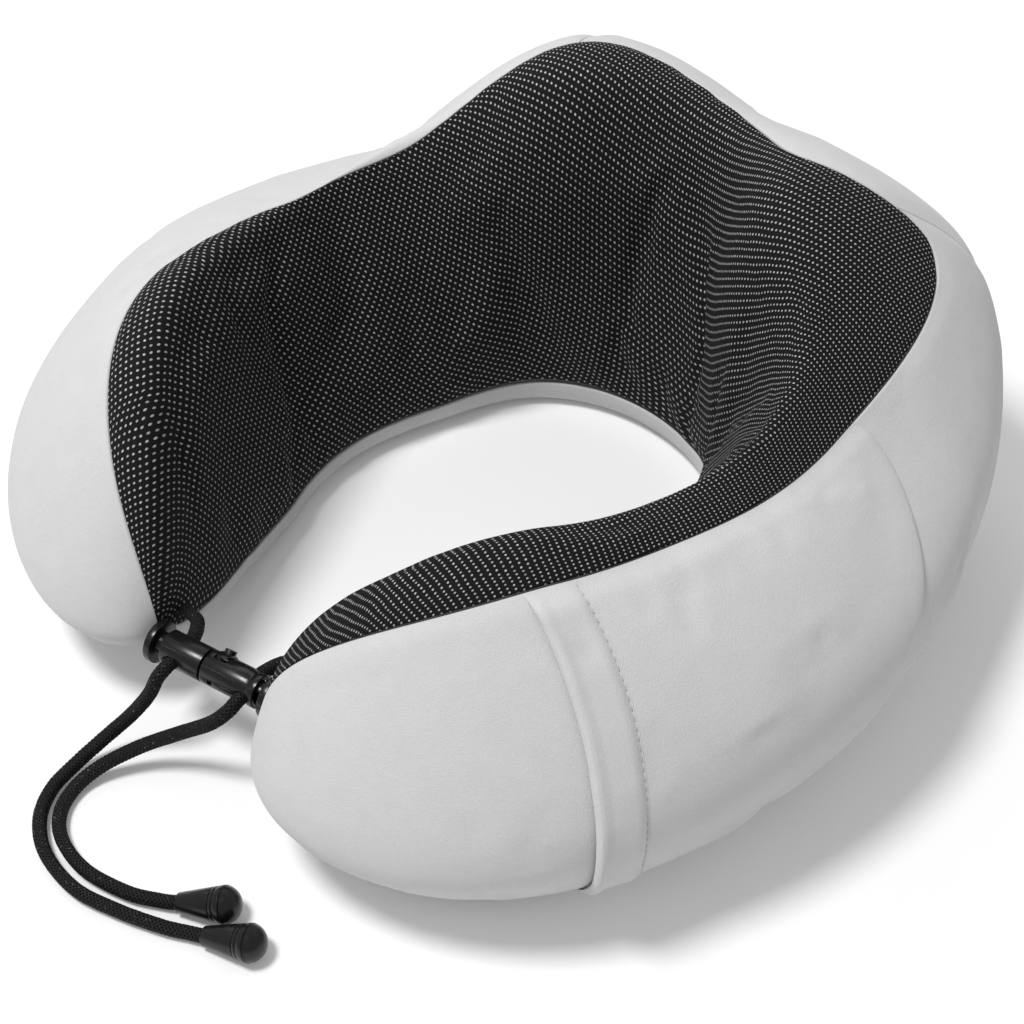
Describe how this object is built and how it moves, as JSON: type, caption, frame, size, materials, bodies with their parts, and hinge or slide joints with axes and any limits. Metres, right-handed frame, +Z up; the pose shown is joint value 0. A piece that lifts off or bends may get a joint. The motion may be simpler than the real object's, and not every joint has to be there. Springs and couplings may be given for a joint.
{
  "type": "u shaped neck pillow",
  "caption": "U-shaped memory foam travel neck pillow with a knitted neck panel, a phone pocket, an underside zip and a snap-together cord lock between the arm tips",
  "frame": {"origin": "On the resting surface, under the middle of the pillow's outline (cords and cord ends left out)", "axes": "+Z up from the resting surface; +Y towards the back of the pillow, so the open mouth between the arms faces -Y; +X towards the arm with the phone pocket"},
  "size_m": [0.2766, 0.3034, 0.1221],
  "materials": {
    "foam": "open-cell memory foam, matte",
    "knit": "black knit with small white dots",
    "velour": "short soft pile, matte",
    "elastic": "woven elastic",
    "zip_tape": "woven polyester tape",
    "zip_coil": "nylon coil, slightly glossy",
    "zip_metal": "grey lacquered zinc",
    "cord": "round braided polyester",
    "black_plastic": "satin moulded plastic",
    "spring_wire": "bright drawn wire"
  },
  "bodies": {
    "pillow": {"foam_core": "foam", "neck_panel": "knit", "inner_band": "velour", "outer_panel_left": "velour", "outer_panel_right": "velour", "back_panel": "velour", "base_panel": "velour", "pocket_panel": "velour", "pocket_hem": "velour", "pocket_elastic": "elastic", "zip_tape_inner": "zip_tape", "zip_tape_outer": "zip_tape", "zip_coil_inner": "zip_coil", "zip_coil_outer": "zip_coil", "zip_stops": "zip_metal", "cord_left": "cord", "cord_right": "cord", "cord_knot_left": "cord", "cord_knot_right": "cord", "bell_left": "black_plastic", "bell_right": "black_plastic", "bell_plug_left": "black_plastic", "bell_plug_right": "black_plastic", "lock_housing_left": "black_plastic", "lock_housing_right": "black_plastic", "lock_spring_left": "spring_wire", "lock_spring_right": "spring_wire"},
    "slider": {"zip_slider": "zip_metal"},
    "pull": {"zip_pull": "zip_metal"},
    "plunger_left": {"lock_plunger_left": "black_plastic"},
    "plunger_right": {"lock_plunger_right": "black_plastic"},
    "release": {"release_button": "black_plastic"}
  },
  "joints": [
    {"name": "zip", "type": "hinge", "parent": "pillow", "child": "slider", "pos_m": [0, -0.011, 0], "axis": [0, 0, 1], "range_deg": [0, 86]},
    {"name": "zip_pull_turn", "type": "hinge", "parent": "slider", "child": "pull", "pos_m": [0.06823, 0.06211, 0.00175], "axis": [-0.6823, -0.7311, 0], "range_deg": [0, 175]},
    {"name": "press_left", "type": "slide", "parent": "pillow", "child": "plunger_left", "axis": [0.9659, 0.2588, 0], "range_m": [0, 0.0024], "stiffness_N_per_m": 800, "springref_m": -0.003},
    {"name": "press_right", "type": "slide", "parent": "pillow", "child": "plunger_right", "axis": [-0.9659, -0.2588, 0], "range_m": [0, 0.0024], "stiffness_N_per_m": 800, "springref_m": -0.003},
    {"name": "press_release", "type": "slide", "parent": "pillow", "child": "release", "axis": [0.204, -0.7612, -0.6157], "range_m": [0, 0.0009], "stiffness_N_per_m": 1500, "springref_m": -0.0005}
  ]
}
